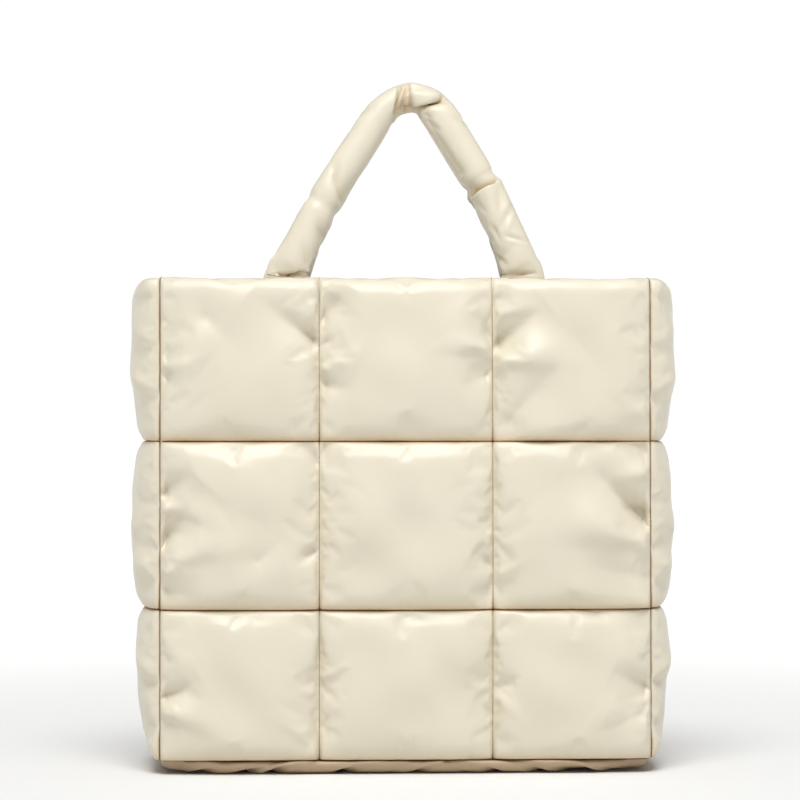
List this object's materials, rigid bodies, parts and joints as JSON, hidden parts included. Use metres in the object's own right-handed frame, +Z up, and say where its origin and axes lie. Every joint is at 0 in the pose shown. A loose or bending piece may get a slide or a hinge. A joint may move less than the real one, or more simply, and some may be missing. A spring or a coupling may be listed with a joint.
{
  "type": "puffer tote bag",
  "caption": "Open-topped quilted tote bag with padded walls, padded side gussets, a padded base and tube handles on the front and back rim.",
  "frame": {"origin": "on the floor, under the middle of the bag's bounding box", "axes": "+Z up, -Y out of the front panel, +X to the right seen from the front"},
  "size_m": [0.4192, 0.1528, 0.5303],
  "materials": {
    "shell": "satin polyurethane faux leather, cream",
    "handles": "satin polyurethane faux leather, cream"
  },
  "bodies": {
    "root": {"front_panel": "shell", "back_panel": "shell", "left_gusset": "shell", "right_gusset": "shell", "base_panel": "shell", "front_handle": "handles", "back_handle": "handles"}
  },
  "joints": []
}
